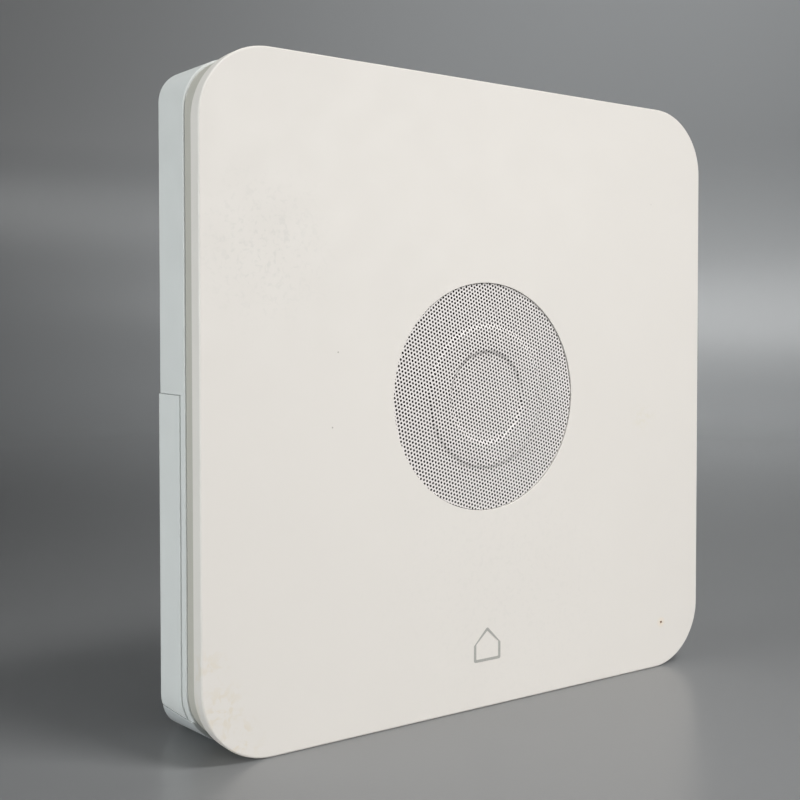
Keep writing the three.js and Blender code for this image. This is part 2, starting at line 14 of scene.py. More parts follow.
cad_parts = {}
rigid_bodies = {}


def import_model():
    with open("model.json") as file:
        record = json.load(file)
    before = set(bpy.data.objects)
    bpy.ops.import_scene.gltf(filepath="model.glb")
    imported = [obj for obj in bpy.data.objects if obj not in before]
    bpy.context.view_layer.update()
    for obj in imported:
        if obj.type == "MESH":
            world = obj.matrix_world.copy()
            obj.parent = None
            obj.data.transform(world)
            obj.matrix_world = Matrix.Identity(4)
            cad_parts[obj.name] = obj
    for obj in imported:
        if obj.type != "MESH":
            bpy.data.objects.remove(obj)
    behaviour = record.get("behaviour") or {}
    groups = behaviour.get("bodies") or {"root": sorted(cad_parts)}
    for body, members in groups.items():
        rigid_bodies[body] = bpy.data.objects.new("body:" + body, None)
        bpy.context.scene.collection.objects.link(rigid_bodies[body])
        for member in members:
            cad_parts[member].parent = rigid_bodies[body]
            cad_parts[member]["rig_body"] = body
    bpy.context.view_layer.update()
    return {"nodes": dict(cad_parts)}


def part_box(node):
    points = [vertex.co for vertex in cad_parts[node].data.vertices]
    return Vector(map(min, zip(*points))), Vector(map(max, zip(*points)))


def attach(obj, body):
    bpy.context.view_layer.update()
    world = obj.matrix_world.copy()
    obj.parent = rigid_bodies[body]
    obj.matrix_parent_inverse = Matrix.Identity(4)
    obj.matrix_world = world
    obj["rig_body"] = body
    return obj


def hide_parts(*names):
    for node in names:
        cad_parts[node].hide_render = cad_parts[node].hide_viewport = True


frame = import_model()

# ---- Frame -----------------------------------------------------------------------------------

MM = 0.001
panel_low, panel_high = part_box("front_panel")
mark_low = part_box("printed_mark")[0]
CENTRE = Vector((0, mark_low.y, (panel_low.z + panel_high.z) / 2))
TO_FRAME = Matrix.Translation(CENTRE) @ Matrix.Scale(MM, 4)


def measured(node):
    """Lowest and highest corner of a CAD node in drawing millimetres."""
    return [(corner - CENTRE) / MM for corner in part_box(node)]


# Sizes in drawing millimetres, nearly all as in the CAD. The grille's sheet is a little smaller than
# its node, to clear the hole, the strip below the cover (BASE) stands 0.45 mm further out than in the
# CAD, and the cover's seam is narrower. PAST and FAR are depths behind everything, for cutters.
HALF = (panel_high.z - panel_low.z) / 2 / MM
PANEL_FRONT = measured("front_panel")[0].y
PANEL_BACK = measured("front_panel")[1].y
PANEL = {"corner": 18.45, "skin": 2.2, "rim": 6, "edge": 0.5}
GRILLE = {"radius": measured("speaker_grille")[1].x - 0.15, "hole": 30.7, "ledge": 28.6, "seat": 1.0}
EMBOSS = {"inner": 12.25, "outer": 19.1, "slope": 0.45, "low": 0.4, "high": 0.02, "centre": 0.5,
          "sheet": 0.2}
MESH = {"pitch": 1.04, "hole": 0.35, "turn": math.radians(40)}
NECK = {"side": 3.9, "end": 0.6, "corner": 13.3, "wall": 2.2, "lip": 3.95, "flange": 5.2,
        "front": PANEL_BACK + 0.05, "back": 16.05, "lip_back": 18.6}
WEB = {"front": 6, "back": 8}
SPEAKER = {"hole": 24.5, "ledge": (11.5, 19.8), "spoke": (19, 25.5), "screws": 28.1}
SHELL = {"side": 3.45, "end": 0.1, "corner": 13.4, "side_draft": 1.45, "end_draft": 0.5, "taper": 5,
         "fillet": 1.2, "front": 16.1, "back": 34.8, "wall": 2, "brow": 0.4}
BASE = {"side_draft": 1.9, "taper": 6.8, "proud": 0.45, "back": 33.7}
COVER = {"proud": 0.35, "wall": 2, "seam": 0.09, "front": 19.1, "bottom": -78, "top": 1.8}
BAY = {"half": 40, "wall": 2, "front": 13.6, "top": -52.5, "bottom": -77.8, "base": -81.4}
CABLE_EXITS = ((-22, -10), (12, 21))
CABLE_EXIT_DEPTH = (18.6, 29.5)
FEET = {"x": 64, "z": 62.5, "radius": 6}
FOOT_HOLE = FEET["radius"] + 0.2
BOSS = {"neck": 3.6, "housing": 4.4, "pilot": 1.7, "clearance": 1.8, "head": 3.4, "back": 20}
KEYHOLE = {"x": 52, "z": 43.5, "entry": 4.4, "slot": 2.5, "rise": 9}
POCKET = {"half": 5.7, "front": 29.3, "below": 4.9, "above": 3.4, "wall": 1.5}
BUTTONS = {"z": 19.5, "setup": -55, "reset": -43, "board": 24, "posts": (-64, -36)}
STATUS = {"x": 68.4, "z": -71, "hole": 0.42}
COVER_INNER = COVER["wall"] - COVER["proud"]
COVER_SEAT = COVER_INNER + 0.3
LOW_CAVITY = COVER_SEAT + SHELL["wall"]
SQUARE = {"side_draft": SHELL["side_draft"], "taper": 0}
LATCHES = (-50, 50)
LATCH_Z = -4.5
BOARD_FRONT = 10
POSTS = ((-50, -70.5), (50, -70.5), (-50, -16.5), (50, -16.5))
STAKE = {"radius": 1.5, "back": 10.4, "x": 41, "z": 52}
CORNERS = (("upper_left", -1, 1), ("upper_right", 1, 1), ("lower_left", -1, -1), ("lower_right", 1, -1))
WIDE = (-100, 100)
PAST = 40
FAR = 50

# ---- Solids ----------------------------------------------------------------------------------


def solid(points, faces):
    """A mesh object with its faces turned outward."""
    mesh = bpy.data.meshes.new("solid")
    mesh.from_pydata([tuple(point) for point in points], [], faces)
    shape = bmesh.new()
    shape.from_mesh(mesh)
    bmesh.ops.recalc_face_normals(shape, faces=shape.faces)
    shape.to_mesh(mesh)
    shape.free()
    made = bpy.data.objects.new("solid", mesh)
    bpy.context.scene.collection.objects.link(made)
    return made


def evaluated(base):
    """The piece with its modifiers made final."""
    bpy.context.view_layer.update()
    final = base.evaluated_get(bpy.context.evaluated_depsgraph_get())
    mesh = bpy.data.meshes.new_from_object(final)
    base.modifiers.clear()
    base.data = mesh
    return base


def combine(operation, base, tools):
    """One boolean after another on the base; the tools are used up."""
    for tool in tools:
        step = base.modifiers.new(operation, "BOOLEAN")
        step.operation = operation
        step.solver = "MANIFOLD"
        step.object = tool
    evaluated(base)
    for tool in tools:
        bpy.data.objects.remove(tool)
    return base


def cut(base, *tools):
    return combine("DIFFERENCE", base, tools)


def join(base, *tools):
    return combine("UNION", base, tools)


def common(base, *tools):
    return combine("INTERSECT", base, tools)


def level(outline, depth):
    return [(x, depth, z) for x, z in outline]


def loft(loops, closed=False):
    """A skin through loops of matching points, closed on itself or capped at both ends."""
    count = len(loops[0])
    points = [point for loop in loops for point in loop]
    faces = []
    for k in range(len(loops) if closed else len(loops) - 1):
        a, b = k * count, (k + 1) % len(loops) * count
        faces += [(a + i, a + (i + 1) % count, b + (i + 1) % count, b + i) for i in range(count)]
    if not closed:
        faces += [tuple(range(count)), tuple(range(len(points) - count, len(points)))]
    return solid(points, faces)


def slab(outline, front, back):
    return loft([level(outline, front), level(outline, back)])


def block(x, y, z):
    outline = [(x[0], z[0]), (x[1], z[0]), (x[1], z[1]), (x[0], z[1])]
    return slab(outline, y[0], y[1])


def circle(radius, sides=64, x=0, z=0):
    turn = 2 * math.pi / sides
    return [(x + radius * math.cos(turn * k), z + radius * math.sin(turn * k)) for k in range(sides)]


def arc(x, z, radius, start, sweep, steps):
    """Points along part of a circle, both ends included."""
    turns = [start + sweep * k / steps for k in range(steps + 1)]
    return [(x + radius * math.cos(turn), z + radius * math.sin(turn)) for turn in turns]


def rod(radius, front, back, x=0, z=0, sides=32):
    return slab(circle(radius, sides, x, z), front, back)


def at_corners(radius, front, back):
    """A rod on each housing screw's axis."""
    return [rod(radius, front, back, x * FEET["x"], z * FEET["z"]) for _, x, z in CORNERS]


def turned(profile, sides=64, x=0, z=0):
    """A round skin from (radius, depth) points, joined end to end unless it starts on the axis."""
    points, rows = [], []
    for radius, depth in profile:
        start = len(points)
        if radius == 0:
            points.append((x, depth, z))
            rows.append([start] * sides)
        else:
            points += level(circle(radius, sides, x, z), depth)
            rows.append(list(range(start, start + sides)))
    if profile[0][0] != 0:
        rows.append(rows[0])
    faces = []
    for a, b in zip(rows, rows[1:]):
        for i in range(sides):
            j = (i + 1) % sides
            corners = [a[i], a[j], b[j], b[i]]
            face = [corner for k, corner in enumerate(corners) if corner != corners[k - 1]]
            if len(face) > 2:
                faces.append(face)
    return solid(points, faces)


def quarter(steps):
    """1 - cos and 1 - sin of turns from 0 to a right angle, for rounded edges."""
    turns = [math.pi / 2 * k / steps for k in range(steps + 1)]
    return [(1 - math.cos(turn), 1 - math.sin(turn)) for turn in turns]


def rounded_plate(side, end, corner, arc=12, rim=2):
    """Outline of a plate with round corners, set in from the panel's edge at its sides and ends."""
    wide, tall = HALF - side - corner, HALF - end - corner
    outline = []
    for k in range(4):
        cos, sin = (1, 0, -1, 0)[k], (0, 1, 0, -1)[k]
        reach = (wide, tall) if k % 2 == 0 else (tall, wide)
        quarter = [(reach[0] + corner, reach[1] * 2 * i / rim) for i in range(rim // 2)]
        for i in range(arc):
            turn = math.pi / 2 * i / arc
            quarter.append((reach[0] + corner * math.cos(turn), reach[1] + corner * math.sin(turn)))
        quarter += [(reach[0] * (1 - 2 * i / rim), reach[1] + corner) for i in range(rim // 2)]
        outline += [(x * cos - z * sin, x * sin + z * cos) for x, z in quarter]
    return outline


def rounded_outline(corners, radius):
    """A polygon whose corners are rounded."""
    steps = 6
    outline = []
    for k, corner in enumerate(corners):
        here = Vector(corner)
        before = (Vector(corners[k - 1]) - here).normalized()
        after = (Vector(corners[(k + 1) % len(corners)]) - here).normalized()
        half = before.angle(after) / 2
        centre = here + (before + after).normalized() * radius / math.sin(half)
        start = here + before * radius / math.tan(half) - centre
        end = here + after * radius / math.tan(half) - centre
        for step in range(steps + 1):
            spoke = start.lerp(end, step / steps).normalized() * radius
            outline.append(tuple(centre + spoke))
    return outline


def shell_block(set_in, front, form=SHELL, brow=0):
    """The housing's outer form set in by a distance; brow is the radius of its front edge."""
    side_draft, taper = form["side_draft"], form["taper"]
    fillet = max(SHELL["fillet"] - set_in, 0.3)
    back = SHELL["back"] - set_in

    def section(depth, inward):
        share = (depth - SHELL["front"]) / (SHELL["back"] - SHELL["front"])
        inset = set_in + inward
        side = SHELL["side"] + side_draft * share + inset
        end = SHELL["end"] + SHELL["end_draft"] * share + inset
        return level(rounded_plate(side, end, SHELL["corner"] - taper * share - inset), depth)

    loops = []
    for drop, inward in quarter(4) if brow else [(0, 0)]:
        loops.append(section(front + brow * drop, brow * inward))
    for inward, drop in quarter(10):
        loops.append(section(back - fillet * drop, fillet * inward))
    return loft(loops)


def soften(piece, width, angle=35):
    """Small rounded edges, and normals that keep flat faces flat."""
    if width:
        clean = bmesh.new()
        clean.from_mesh(piece.data)
        bmesh.ops.remove_doubles(clean, verts=clean.verts, dist=0.002)
        flat = math.radians(0.4)
        bmesh.ops.dissolve_limit(clean, angle_limit=flat, verts=clean.verts, edges=clean.edges)
        clean.to_mesh(piece.data)
        clean.free()
        bevel = piece.modifiers.new("edges", "BEVEL")
        bevel.width = width
        bevel.segments = 2
        bevel.limit_method = "ANGLE"
        bevel.angle_limit = math.radians(angle)
        bevel.use_clamp_overlap = False
        bevel.miter_outer = "MITER_ARC"
    evaluated(piece)
    piece.data.polygons.foreach_set("use_smooth", [True] * len(piece.data.polygons))
    piece.data.set_sharp_from_angle(angle=math.radians(50))
    normals = piece.modifiers.new("normals", "WEIGHTED_NORMAL")
    normals.keep_sharp = True
    return evaluated(piece)


# ---- Materials -------------------------------------------------------------------------------


class Look:
    """One procedural material, drawn in the frame's own metres."""

    def __init__(self, name):
        self.material = bpy.data.materials.new(name)
        self.material.use_nodes = True
        self.tree = self.material.node_tree
        self.tree.nodes.clear()
        self.shader = self.node("ShaderNodeBsdfPrincipled")
        output = self.node("ShaderNodeOutputMaterial")
        self.tree.links.new(self.shader.outputs[0], output.inputs["Surface"])
        self.place = self.node("ShaderNodeTexCoord").outputs["Object"]
        self.axes = self.node("ShaderNodeSeparateXYZ", {0: self.place}).outputs

    def node(self, kind, inputs=None, **settings):
        made = self.tree.nodes.new(kind)
        for key, value in settings.items():
            setattr(made, key, value)
        for key, value in (inputs or {}).items():
            self.feed(made.inputs[key], value)
        return made

    def feed(self, socket, value):
        if isinstance(value, bpy.types.NodeSocket):
            self.tree.links.new(value, socket)
        else:
            socket.default_value = value

    def set(self, colours, rough, normal, **more):
        """Feeds the shader; a plain number or colour goes straight on its socket."""
        values = {"Base_Color": colours, "Roughness": rough, "Normal": normal, **more}
        for key, value in values.items():
            self.feed(self.shader.inputs[key.replace("_", " ")], value)
        return self

    def noise(self, size_mm, detail=2.0, vector=None, distortion=0.0):
        inputs = {"Vector": vector or self.place, "Scale": 1 / (size_mm * MM), "Detail": detail}
        inputs["Distortion"] = distortion
        return self.node("ShaderNodeTexNoise", inputs).outputs[0]

    def cells(self, size_mm, output="Distance"):
        inputs = {"Vector": self.place, "Scale": 1 / (size_mm * MM)}
        return self.node("ShaderNodeTexVoronoi", inputs).outputs[output]

    def bands(self, size_mm, direction):
        """Waves across an axis; Blender's wave texture repeats every 2 pi / 20 at a scale of 1."""
        inputs = {"Vector": self.place, "Scale": 1 / (size_mm * MM) / 20 * 2 * math.pi}
        return self.node("ShaderNodeTexWave", inputs, bands_direction=direction).outputs["Fac"]

    def stretched(self, x, y, z):
        inputs = {0: self.place, 1: (x, y, z)}
        return self.node("ShaderNodeVectorMath", inputs, operation="MULTIPLY").outputs[0]

    def sum(self, a, b, operation="ADD"):
        """Two values added, or joined by another operation of Blender's Math node."""
        return self.node("ShaderNodeMath", {0: a, 1: b}, operation=operation).outputs[0]

    def times(self, a, b):
        return self.sum(a, b, "MULTIPLY")

    def remap(self, value, low, high, new_low=0.0, new_high=1.0):
        inputs = {"Value": value, "From Min": low, "From Max": high, "To Min": new_low, "To Max": new_high}
        return self.node("ShaderNodeMapRange", inputs, interpolation_type="SMOOTHSTEP").outputs["Result"]

    def uneven(self, size_mm, detail, *limits):
        """Noise of a size, remapped."""
        return self.remap(self.noise(size_mm, detail), *limits)

    def mix(self, factor, a, b):
        a = a if isinstance(a, bpy.types.NodeSocket) else (*a, 1)
        b = b if isinstance(b, bpy.types.NodeSocket) else (*b, 1)
        return self.node("ShaderNodeMix", {0: factor, 6: a, 7: b}, data_type="RGBA").outputs[2]

    def bump(self, height, depth_mm, under=None):
        inputs = {"Height": height, "Distance": depth_mm * MM}
        if under is not None:
            inputs["Normal"] = under
        return self.node("ShaderNodeBump", inputs).outputs[0]

    def edges(self, radius_mm):
        """1 on outer and inner edges, 0 on open faces."""
        rounded = self.node("ShaderNodeBevel", {"Radius": radius_mm * MM}, samples=4).outputs[0]
        normal = self.node("ShaderNodeNewGeometry").outputs["Normal"]
        inputs = {0: rounded, 1: normal}
        facing = self.node("ShaderNodeVectorMath", inputs, operation="DOT_PRODUCT").outputs["Value"]
        return self.remap(facing, 0.995, 0.9)

    def near(self, x_mm, z_mm, radius_mm):
        """1 at a place on the front, seen straight on, falling to 0 at a distance from it."""
        here = self.node("ShaderNodeCombineXYZ", {0: self.axes[0], 1: 0.0, 2: self.axes[2]}).outputs[0]
        inputs = {0: here, 1: (x_mm * MM, 0, z_mm * MM + CENTRE.z)}
        distance = self.node("ShaderNodeVectorMath", inputs, operation="DISTANCE").outputs["Value"]
        return self.remap(distance, radius_mm * MM, 0)


def shade(colour, amount):
    return tuple(min(1, channel * amount) for channel in colour)


def moulded(name, colour, roughness, grain=0.004, wear=0.35, dust=None, painted_low_shade=None):
    """Fine moulded plastic: slight mottle, spark-eroded grain and burnished edges.

    dust is a colour for the inner corners, and the last argument a colour of painted shade on the lowest 6
    mm.
    """
    look = Look(name)
    mottle = look.noise(14, 4)
    speckle = look.noise(0.35, 3)
    colours = look.mix(mottle, shade(colour, 0.97), shade(colour, 1.03))
    colours = look.mix(look.times(speckle, 0.25), colours, shade(colour, 0.94))
    rubbed = look.times(look.edges(0.5), look.uneven(2.2, 4, 0.35, 0.65))
    colours = look.mix(look.times(rubbed, wear), colours, shade(colour, 1.1))
    if dust:
        inside = look.node("ShaderNodeAmbientOcclusion", {"Distance": 2.5 * MM}, samples=4, only_local=True)
        corner = look.remap(inside.outputs["AO"], 0.75, 0.35)
        corner = look.times(corner, look.uneven(1.6, 4, 0.25, 0.6))
        colours = look.mix(look.times(corner, 0.15), colours, dust)
    # Painted shade: below about 6.5 mm the colour turns darker and bluer, for the strip under the cover that
    # turns down towards the floor.
    if painted_low_shade:
        low = look.remap(look.axes[2], 6.8 * MM, 6 * MM)
        colours = look.mix(look.times(low, 0.5), colours, painted_low_shade)
    rough = look.uneven(9, 4, 0.3, 0.7, roughness - 0.05, roughness + 0.06)
    rough = look.sum(rough, look.times(rubbed, 0.12), "SUBTRACT")
    waves = look.bump(look.noise(30, 1), 0.05)
    fine = look.bump(look.noise(0.16, 2), grain, waves)
    return look.set(colours, rough, fine, IOR=1.49)


def front_plastic():
    """The front panel's own finish, with its handling marks and a painted shade over its lower middle."""
    colour = (0.765, 0.74, 0.70)
    look = Look("front_plastic")
    colours = look.mix(look.noise(24, 3), shade(colour, 0.985), shade(colour, 1.015))
    colours = look.mix(look.times(look.noise(0.3, 3), 0.2), colours, shade(colour, 0.95))
    smear_pattern = look.remap(look.noise(1.4, 5, distortion=0.6), 0.5, 0.68)
    # Fingerprint smudges at the upper left, and painted shade: a broad, faint darkening over the lower
    # middle.
    smudge_and_shade = look.sum(look.near(-68, 38, 26), look.times(look.near(8, -52, 60), 0.35), "MAXIMUM")
    smudge_and_shade = look.times(look.times(smudge_and_shade, smear_pattern), 0.35)
    colours = look.mix(smudge_and_shade, colours, (0.60, 0.60, 0.57))
    specks = look.remap(look.cells(9), 0.03, 0.02)
    specks = look.times(specks, look.uneven(31, 2, 0.52, 0.6))
    colours = look.mix(look.times(specks, 0.7), colours, (0.30, 0.28, 0.24))
    blotches = look.remap(look.noise(2.6, 5, distortion=0.8), 0.46, 0.64)
    stain = look.sum(look.near(-79.5, -71, 9), look.near(-75.5, -78.5, 9), "MAXIMUM")
    stain = look.sum(stain, look.times(look.near(-82.5, -61, 7), 0.7), "MAXIMUM")
    stain = look.times(stain, blotches)
    colours = look.mix(look.times(stain, 0.34), colours, (0.66, 0.56, 0.36))
    patch = look.times(look.near(60, -8, 7), look.uneven(2, 4, 0.4, 0.7))
    colours = look.mix(look.times(patch, 0.3), colours, (0.70, 0.66, 0.50))
    # Painted glow: warm light from the status light spilling onto the panel round its hole.
    painted_glow = look.near(STATUS["x"], STATUS["z"], 2.2)
    colours = look.mix(look.times(painted_glow, 0.5), colours, (0.82, 0.68, 0.50))
    rubbed = look.times(look.edges(0.5), look.uneven(2.2, 4, 0.35, 0.65))
    colours = look.mix(look.times(rubbed, 0.3), colours, (0.84, 0.83, 0.81))
    rough = look.uneven(9, 4, 0.3, 0.7, 0.42, 0.54)
    rough = look.sum(rough, look.times(smudge_and_shade, 0.3))
    waves = look.bump(look.noise(45, 1), 0.06)
    fine = look.bump(look.noise(0.16, 2), 0.004, waves)
    return look.set(colours, rough, fine, IOR=1.49)


def powder_coat():
    """Matt coat on the perforated sheet, thin along the edges of its holes, where painted shade darkens it
    too.
    """
    colour = (0.83, 0.80, 0.785)
    look = Look("grille_metal")
    colours = look.mix(look.noise(7, 4), shade(colour, 0.96), shade(colour, 1.03))
    # Darker round the holes: a thinner coat on their edges, and painted shade in the holes.
    thin_coat_and_shade = look.times(look.edges(0.12), look.uneven(1.5, 4, 0.45, 0.6))
    colours = look.mix(look.times(thin_coat_and_shade, 0.35), colours, (0.62, 0.61, 0.60))
    rough = look.uneven(4, 3, 0.3, 0.7, 0.40, 0.52)
    peel = look.bump(look.noise(0.25, 2), 0.006)
    return look.set(colours, rough, peel)


def printed_ink():
    look = Look("mark_ink")
    thin = look.uneven(0.35, 4, 0.35, 0.7)
    colours = look.mix(look.times(thin, 0.35), (0.38, 0.38, 0.36), (0.50, 0.50, 0.47))
    rough = look.uneven(1.2, 3, 0.3, 0.7, 0.36, 0.5)
    return look.set(colours, rough, look.bump(look.noise(0.2, 2), 0.004))


def light_plastic(name, colour, glow=None):
    """Clear plastic that passes light; with a glow it is cloudier and shines faintly."""
    look = Look(name)
    colours = look.mix(look.noise(1.5, 3), shade(colour, 0.9), shade(colour, 1.06))
    rough = look.uneven(2.5, 3, 0.3, 0.7, 0.08, 0.2)
    haze = look.bump(look.noise(3, 2), 0.02)
    clear = 0.2 if glow else 0.55
    shine = {"Emission_Color": (*glow, 1), "Emission_Strength": 0.12} if glow else {}
    return look.set(colours, rough, haze, IOR=1.585, Transmission_Weight=clear, **shine)


def rubber(name, colour):
    look = Look(name)
    bloom = look.uneven(3.5, 5, 0.35, 0.75)
    colours = look.mix(look.times(bloom, 0.5), colour, shade(colour, 1.35))
    lint = look.remap(look.cells(1.7), 0.06, 0.03)
    colours = look.mix(look.times(lint, 0.5), colours, (0.55, 0.54, 0.50))
    rough = look.remap(bloom, 0, 1, 0.72, 0.9)
    fine = look.bump(look.noise(0.18, 3), 0.02)
    return look.set(colours, rough, fine)


def foam():
    look = Look("black_foam")
    pores = look.cells(0.35)
    colours = look.mix(look.remap(pores, 0.1, 0.6), (0.012, 0.011, 0.012), (0.045, 0.042, 0.042))
    rough = look.uneven(1, 2, 0.3, 0.7, 0.88, 0.98)
    return look.set(colours, rough, look.bump(pores, 0.05))


def circuit_board():
    """Green solder mask over tracks, with gold pads round small holes painted as black dots of shade."""
    look = Look("circuit_board")
    region = look.cells(7, output="Color")
    choice = look.remap(look.node("ShaderNodeSeparateColor", {0: region}).outputs[0], 0.45, 0.55)
    across = look.remap(look.bands(0.9, "X"), 0.62, 0.7)
    along = look.remap(look.bands(0.9, "Z"), 0.62, 0.7)
    tracks = look.node("ShaderNodeMix", {0: choice, 2: across, 3: along}).outputs[0]
    tracks = look.times(tracks, look.uneven(11, 2, 0.42, 0.5))
    colours = look.mix(look.noise(6, 3), (0.008, 0.10, 0.045), (0.012, 0.135, 0.06))
    colours = look.mix(look.times(tracks, 0.75), colours, (0.03, 0.24, 0.11))
    holes = look.cells(2.4)
    pads = look.remap(holes, 0.13, 0.11)
    colours = look.mix(pads, colours, (0.78, 0.60, 0.28))
    # Painted shade: a black dot in each pad stands for the shade inside a hole.
    colours = look.mix(look.remap(holes, 0.06, 0.05), colours, (0.01, 0.01, 0.01))
    rough = look.uneven(3, 3, 0.3, 0.7, 0.28, 0.42)
    steps = look.bump(look.sum(tracks, look.times(pads, 0.5)), 0.02)
    return look.set(colours, rough, steps, Metallic=look.times(pads, 0.9))


def metal(name, colour, roughness, tint=(0.42, 0.38, 0.33)):
    """Plated or rolled metal: a fine directional grain, dull patches and bright rubbed edges."""
    look = Look(name)
    lines = look.noise(0.5, 3, look.stretched(1, 1, 12))
    patches = look.uneven(5, 5, 0.4, 0.75)
    colours = look.mix(lines, shade(colour, 0.92), shade(colour, 1.06))
    colours = look.mix(look.times(patches, 0.3), colours, tint)
    rubbed = look.times(look.edges(0.2), look.uneven(1.2, 3, 0.35, 0.6))
    colours = look.mix(look.times(rubbed, 0.5), colours, shade(colour, 1.25))
    rough = look.remap(lines, 0.2, 0.8, roughness - 0.06, roughness + 0.08)
    rough = look.sum(rough, look.times(patches, 0.12))
    fine = look.bump(lines, 0.006)
    return look.set(colours, rough, fine, Metallic=1.0)


def ferrite():
    look = Look("ferrite")
    colours = look.mix(look.noise(1.1, 5), (0.022, 0.022, 0.026), (0.055, 0.055, 0.06))
    chips = look.times(look.edges(0.4), look.uneven(0.9, 4, 0.45, 0.6))
    colours = look.mix(chips, colours, (0.12, 0.12, 0.125))
    rough = look.uneven(2, 4, 0.3, 0.7, 0.45, 0.62)
    return look.set(colours, rough, look.bump(look.noise(0.4, 4), 0.03))


def cone_paper():
    look = Look("cone_paper")
    fibres = look.noise(0.5, 5, look.stretched(1, 3, 1), 1.5)
    colours = look.mix(fibres, (0.014, 0.014, 0.015), (0.042, 0.040, 0.038))
    rough = look.uneven(2, 3, 0.3, 0.7, 0.82, 0.95)
    return look.set(colours, rough, look.bump(fibres, 0.06))


def copper_wire():
    look = Look("copper_wire")
    # Each turn's dark stripe is painted shade between the turns.
    turns = look.bands(0.14, "Y")
    colours = look.mix(turns, (0.30, 0.10, 0.035), (0.78, 0.36, 0.17))
    colours = look.mix(look.times(look.noise(1.5, 3), 0.3), colours, (0.55, 0.22, 0.08))
    rough = look.uneven(1, 2, 0.3, 0.7, 0.22, 0.36)
    return look.set(colours, rough, look.bump(turns, 0.05), Metallic=0.9)


def battery_wrap():
    look = Look("battery_wrap")
    colour = (0.03, 0.16, 0.42)
    colours = look.mix(look.noise(9, 4), shade(colour, 0.9), shade(colour, 1.12))
    creases = look.noise(7, 3, look.stretched(1, 1, 4), 0.8)
    scuffs = look.uneven(1.2, 5, 0.6, 0.72)
    colours = look.mix(look.times(scuffs, 0.2), colours, (0.35, 0.45, 0.6))
    rough = look.sum(look.uneven(4, 3, 0.3, 0.7, 0.2, 0.32), look.times(scuffs, 0.2))
    return look.set(colours, rough, look.bump(creases, 0.12))


def red_lead():
    look = Look("red_lead")
    colours = look.mix(look.noise(3, 3), (0.32, 0.02, 0.012), (0.44, 0.035, 0.02))
    rough = look.uneven(1.5, 3, 0.3, 0.7, 0.32, 0.46)
    return look.set(colours, rough, look.bump(look.noise(0.6, 3), 0.03))


def label_paper():
    """Blank coated paper with fine fibres."""
    look = Look("label_paper")
    colours = look.mix(look.noise(5, 3), (0.74, 0.74, 0.73), (0.80, 0.80, 0.785))
    fibres = look.remap(look.noise(0.4, 5, distortion=1), 0.55, 0.75)
    colours = look.mix(look.times(fibres, 0.12), colours, (0.6, 0.6, 0.58))
    rough = look.uneven(2, 3, 0.3, 0.7, 0.46, 0.6)
    return look.set(colours, rough, look.bump(look.noise(0.3, 4), 0.008))


# A slot of the record, how it looks, and the CAD nodes that take it.
LOOKS = {
    "front_plastic": (front_plastic(), ["front_panel"]),
    # The rear plastic's cooler, greyer tint than the front plastic's is painted cool light on the sides.
    "rear_plastic": (
        moulded("rear_plastic", (0.72, 0.745, 0.735), 0.46, dust=(0.42, 0.40, 0.36),
                painted_low_shade=(0.40, 0.43, 0.45)),
        ["rear_housing", "rear_cover", "setup_button"],
    ),
    # The mid frame's tone, darker than the housing's white, is painted shade of the groove it sits in.
    "frame_plastic": (
        moulded("frame_plastic", (0.50, 0.49, 0.44), 0.6, wear=0.1),
        ["mid_frame"],
    ),
    "grille_metal": (powder_coat(), ["speaker_grille"]),
    "mark_ink": (printed_ink(), ["printed_mark"]),
    "clear_plastic": (light_plastic("clear_plastic", (0.80, 0.85, 0.88)),
                      ["light_guide_ring", "status_light_pipe"]),
    "grey_rubber": (
        rubber("grey_rubber", (0.21, 0.215, 0.21)),
        ["foot_upper_left", "foot_upper_right", "foot_lower_left", "foot_lower_right"],
    ),
    "black_plastic": (
        moulded("black_plastic", (0.018, 0.018, 0.020), 0.42, 0.008, dust=(0.09, 0.085, 0.08)),
        ["speaker_basket", "power_jack", "module_socket", "setup_switch", "reset_switch",
         "setup_switch_plunger", "reset_button"],
    ),
    "circuit_board": (
        circuit_board(),
        ["light_ring_board", "main_board", "cellular_module", "cellular_antenna_left",
         "cellular_antenna_right", "mesh_radio_antenna", "wifi_antenna", "button_board"],
    ),
    "steel": (
        metal("steel", (0.56, 0.57, 0.58), 0.30),
        ["housing_screw_upper_left", "housing_screw_upper_right", "housing_screw_lower_left",
         "housing_screw_lower_right", "speaker_screw_1", "speaker_screw_2", "speaker_screw_3",
         "speaker_screw_4", "board_screw_1", "board_screw_2", "board_screw_3", "board_screw_4",
         "speaker_top_plate", "speaker_yoke", "ethernet_jack", "processor_shield", "sim_holder",
         "battery_bracket"],
    ),
    "ferrite": (ferrite(), ["speaker_magnet"]),
    "cone_paper": (cone_paper(), ["speaker_cone", "speaker_dust_cap", "speaker_spider"]),
    "copper_wire": (copper_wire(), ["speaker_voice_coil"]),
    "battery_wrap": (battery_wrap(), ["battery_pack"]),
    "black_foam": (foam(), ["dust_mesh", "speaker_gasket", "speaker_surround"]),
    "red_lead": (red_lead(), ["battery_lead", "speaker_lead"]),
    "label_paper": (label_paper(), ["sim_card", "blank_label"]),
    "white_nylon": (moulded("white_nylon", (0.66, 0.63, 0.55), 0.42, 0.006), ["battery_connector"]),
}
SLOT_OF = {node: slot for slot, (_, nodes) in LOOKS.items() for node in nodes}
AMBER = light_plastic("amber_pipe", (0.12, 0.05, 0.02), (0.5, 0.16, 0.03))
GOLD = metal("gold_contacts", (0.80, 0.60, 0.28), 0.22, tint=(0.6, 0.42, 0.18))

for node, slot in SLOT_OF.items():
    cad = frame["nodes"][node]
    cad.data.materials.clear()
    cad.data.materials.append(LOOKS[slot][0].material)
    cad.data.polygons.foreach_set("use_smooth", [False] * len(cad.data.polygons))


